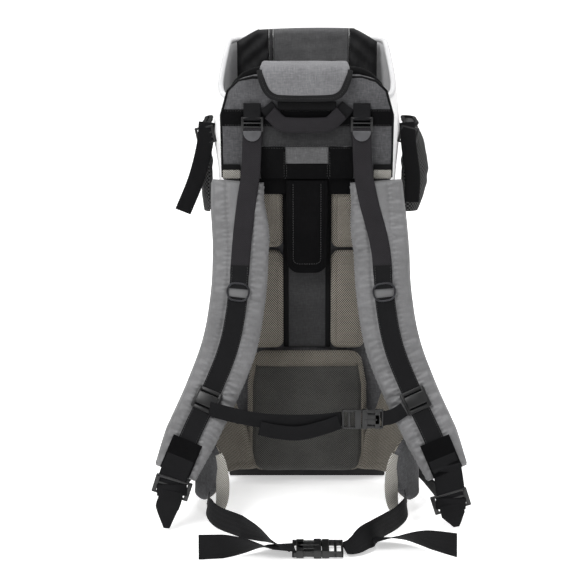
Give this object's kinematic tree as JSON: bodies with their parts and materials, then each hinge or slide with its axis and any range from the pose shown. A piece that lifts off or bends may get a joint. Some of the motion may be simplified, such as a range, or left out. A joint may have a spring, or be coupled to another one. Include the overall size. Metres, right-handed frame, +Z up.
{
  "type": "framed child carrier backpack",
  "caption": "Framed child carrier backpack on its open kickstand, with padded back, shoulder pads, hip wings, adjustable straps and a deep rear seat pod.",
  "frame": {"origin": "centre of the base bar's underside, on the floor, under the main frame tubes", "axes": "+Z up, -Y towards the wearer's back pads, +X to the right as the picture shows it"},
  "size_m": [0.5003, 0.669, 0.757],
  "materials": {
    "frame_aluminium": "satin anodised tube",
    "steel": "plain steel",
    "moulded_acetal": "black moulded acetal",
    "foot_rubber": "matt moulded rubber",
    "black_webbing": "woven polyester webbing",
    "grey_pack_cloth": "heather grey polyester cloth",
    "strap_cloth": "mid grey woven cloth over foam",
    "beige_spacer_mesh": "beige-grey knitted spacer mesh",
    "dark_spacer_mesh": "dark grey knitted spacer mesh",
    "pale_side_cloth": "pale grey coated cloth",
    "black_cloth": "black woven cloth",
    "black_net": "black open net"
  },
  "bodies": {
    "carrier": {"main_frame_tube": "frame_aluminium", "seat_hoop_tube": "frame_aluminium", "pivot_pin_L": "steel", "pivot_pin_R": "steel", "hinge_bracket_L": "moulded_acetal", "hinge_bracket_R": "moulded_acetal", "lower_adjuster_L": "moulded_acetal", "lower_adjuster_R": "moulded_acetal", "sternum_slider_L": "moulded_acetal", "sternum_slider_R": "moulded_acetal", "sternum_buckle_socket": "moulded_acetal", "hip_buckle_socket": "moulded_acetal", "harness_buckle": "moulded_acetal", "base_bar": "foot_rubber", "lifter_strap_L": "black_webbing", "lifter_strap_R": "black_webbing", "lower_web_L": "black_webbing", "lower_web_R": "black_webbing", "hip_strap_L": "black_webbing", "hip_strap_R": "black_webbing", "sternum_strap_L": "black_webbing", "sternum_strap_R": "black_webbing", "child_harness": "black_webbing", "back_panel": "grey_pack_cloth", "upper_panel_pad": "grey_pack_cloth", "upper_cover": "grey_pack_cloth", "chin_pad": "grey_pack_cloth", "child_seat": "grey_pack_cloth", "hip_wing_L": "grey_pack_cloth", "hip_wing_R": "grey_pack_cloth", "storage_bag": "grey_pack_cloth", "back_pad_upper_L": "beige_spacer_mesh", "back_pad_upper_R": "beige_spacer_mesh", "back_pad_lower_L": "beige_spacer_mesh", "back_pad_lower_R": "beige_spacer_mesh", "lumbar_pad": "dark_spacer_mesh", "pod_shell": "pale_side_cloth", "headrest": "black_cloth", "seat_base": "black_cloth", "side_pocket_L": "black_net", "side_pocket_R": "black_net"},
    "kickstand": {"kickstand_tube": "frame_aluminium", "stand_foot_L": "foot_rubber", "stand_foot_R": "foot_rubber"},
    "lock_button_left": {"lock_button_L": "moulded_acetal"},
    "lock_button_right": {"lock_button_R": "moulded_acetal"},
    "yoke": {"yoke_plate": "black_cloth", "height_tongue": "black_cloth", "shoulder_pad_L": "strap_cloth", "shoulder_pad_R": "strap_cloth"},
    "lifter_lock_left": {"lifter_buckle_L": "moulded_acetal"},
    "lifter_lock_right": {"lifter_buckle_R": "moulded_acetal"},
    "ring_left": {"d_ring_L": "steel"},
    "ring_right": {"d_ring_R": "steel"},
    "handle": {"grab_handle": "black_webbing"},
    "hip_plug": {"hip_buckle_plug": "moulded_acetal"},
    "sternum_plug": {"sternum_buckle_plug": "moulded_acetal"},
    "harness_release": {"harness_button": "moulded_acetal"},
    "zip_slider": {"zipper_slider": "steel"}
  },
  "joints": [
    {"name": "stand_fold", "type": "hinge", "parent": "carrier", "child": "kickstand", "pos_m": [0, 0.205, 0.215], "axis": [-1, 0, 0], "range_deg": [0, 81]},
    {"name": "lock_press_left", "type": "slide", "parent": "carrier", "child": "lock_button_left", "axis": [1, 0, 0], "range_m": [0, 0.003], "stiffness_N_per_m": 400, "springref_m": -0.002},
    {"name": "lock_press_right", "type": "slide", "parent": "carrier", "child": "lock_button_right", "axis": [-1, 0, 0], "range_m": [0, 0.003], "stiffness_N_per_m": 400, "springref_m": -0.002},
    {"name": "yoke_height", "type": "slide", "parent": "carrier", "child": "yoke", "axis": [0, 0, 1], "range_m": [-0.05, 0], "deforming": ["shoulder_pad_L", "shoulder_pad_R", "lifter_strap_L", "lifter_strap_R"]},
    {"name": "lifter_tilt_left", "type": "hinge", "parent": "carrier", "child": "lifter_lock_left", "pos_m": [-0.0885, -0.056, 0.634], "axis": [-1, 0, 0], "range_deg": [0, 40]},
    {"name": "lifter_tilt_right", "type": "hinge", "parent": "carrier", "child": "lifter_lock_right", "pos_m": [0.0885, -0.056, 0.634], "axis": [-1, 0, 0], "range_deg": [0, 40]},
    {"name": "ring_swing_left", "type": "hinge", "parent": "yoke", "child": "ring_left", "pos_m": [-0.10959, -0.12185, 0.37748], "axis": [-0.9941, 0.0287, 0.1045], "range_deg": [0, 80]},
    {"name": "ring_swing_right", "type": "hinge", "parent": "yoke", "child": "ring_right", "pos_m": [0.12319, -0.12185, 0.37748], "axis": [-0.9941, -0.0287, -0.1045], "range_deg": [0, 80]},
    {"name": "handle_swing", "type": "hinge", "parent": "carrier", "child": "handle", "pos_m": [0, -0.053, 0.65], "axis": [-1, 0, 0], "range_deg": [0, 100]},
    {"name": "hip_release", "type": "slide", "parent": "carrier", "child": "hip_plug", "axis": [1, 0, 0], "range_m": [0, 0.032], "deforming": ["hip_strap_R"]},
    {"name": "sternum_release", "type": "slide", "parent": "carrier", "child": "sternum_plug", "axis": [-1, 0, 0], "range_m": [0, 0.024], "deforming": ["sternum_strap_L"]},
    {"name": "harness_press", "type": "slide", "parent": "carrier", "child": "harness_release", "axis": [0, 1, 0], "range_m": [0, 0.003], "stiffness_N_per_m": 500, "springref_m": -0.002},
    {"name": "zip_slide", "type": "slide", "parent": "carrier", "child": "zip_slider", "axis": [-1, 0, 0], "range_m": [0, 0.15]}
  ]
}
